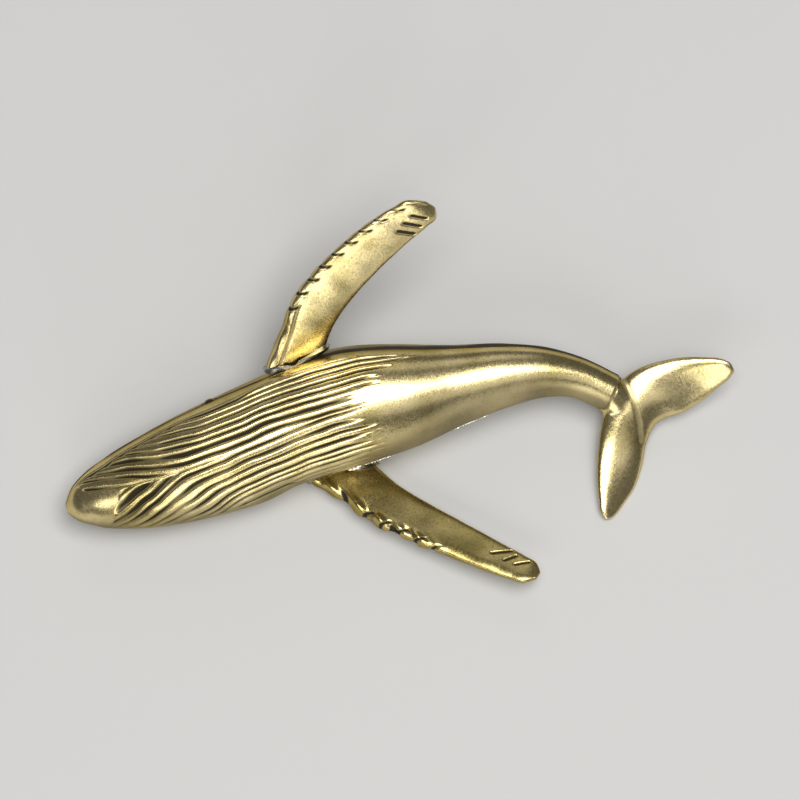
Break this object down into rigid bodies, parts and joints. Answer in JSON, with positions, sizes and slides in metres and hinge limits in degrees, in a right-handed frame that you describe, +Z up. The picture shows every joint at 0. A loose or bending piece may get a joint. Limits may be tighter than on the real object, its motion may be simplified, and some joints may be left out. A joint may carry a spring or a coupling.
{
  "type": "whale figurine",
  "caption": "Small cast brass humpback whale lying on its back, with pleated throat, long knobbed flippers and a broad two-lobed tail; desk or shelf ornament.",
  "frame": {"origin": "centre of the bounding box in plan, on the surface it lies on", "axes": "+X from the chin to the tail, +Z up in the lying pose, +Y to the upper flipper's side"},
  "size_m": [0.1002, 0.0538, 0.0285],
  "materials": {
    "brass": "satin cast brass with dark patina in the recesses",
    "solder": "dull grey silver solder"
  },
  "bodies": {
    "root": {"belly_casting": "brass", "back_casting": "brass", "left_flipper": "brass", "right_flipper": "brass", "tail_fluke": "brass", "flank_solder": "solder", "left_flipper_solder": "solder", "right_flipper_solder": "solder", "fluke_solder": "solder"}
  },
  "joints": []
}
